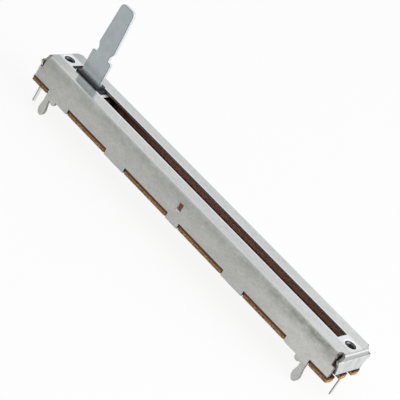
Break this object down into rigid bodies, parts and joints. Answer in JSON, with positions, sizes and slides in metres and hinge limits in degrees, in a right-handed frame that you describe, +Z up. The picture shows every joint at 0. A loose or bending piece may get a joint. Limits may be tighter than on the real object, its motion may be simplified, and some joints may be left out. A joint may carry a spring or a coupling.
{
  "type": "slide potentiometer",
  "caption": "Long-travel slide potentiometer with a folded metal case, a flat metal lever in a straight slot, snap-in legs and flat solder pins.",
  "frame": {"origin": "centre of the slot in plan, at the plane on which the four leg tips stand", "axes": "+X along the slot towards the single-terminal end, +Y across the case away from the side first seen, +Z up along the lever"},
  "size_m": [0.1268, 0.015, 0.041],
  "materials": {
    "plated_steel": "nickel-plated sheet steel, satin with fine grain",
    "lever_steel": "plated steel, satin",
    "phenolic": "brown phenolic paper laminate",
    "carbon": "printed carbon ink, matt",
    "silver_print": "printed silver ink, matt",
    "tinned_brass": "tin-plated brass",
    "eyelet_brass": "plain brass",
    "black_acetal": "black moulded acetal",
    "spring_nickel": "nickel-plated spring steel",
    "bronze": "phosphor bronze"
  },
  "bodies": {
    "root": {"cover": "plated_steel", "base_board": "phenolic", "resistive_track": "carbon", "collector_track": "silver_print", "track_end_left": "silver_print", "track_end_right": "silver_print", "terminal_1": "tinned_brass", "terminal_2": "tinned_brass", "terminal_3": "tinned_brass", "terminal_eyelet_1": "eyelet_brass", "terminal_eyelet_2": "eyelet_brass", "terminal_eyelet_3": "eyelet_brass"},
    "slider": {"lever": "lever_steel", "slider_carrier": "black_acetal", "guide_spring": "spring_nickel", "contact_brush": "bronze"}
  },
  "joints": [
    {"name": "lever_travel", "type": "slide", "parent": "root", "child": "slider", "axis": [1, 0, 0], "range_m": [0, 0.101]}
  ]
}
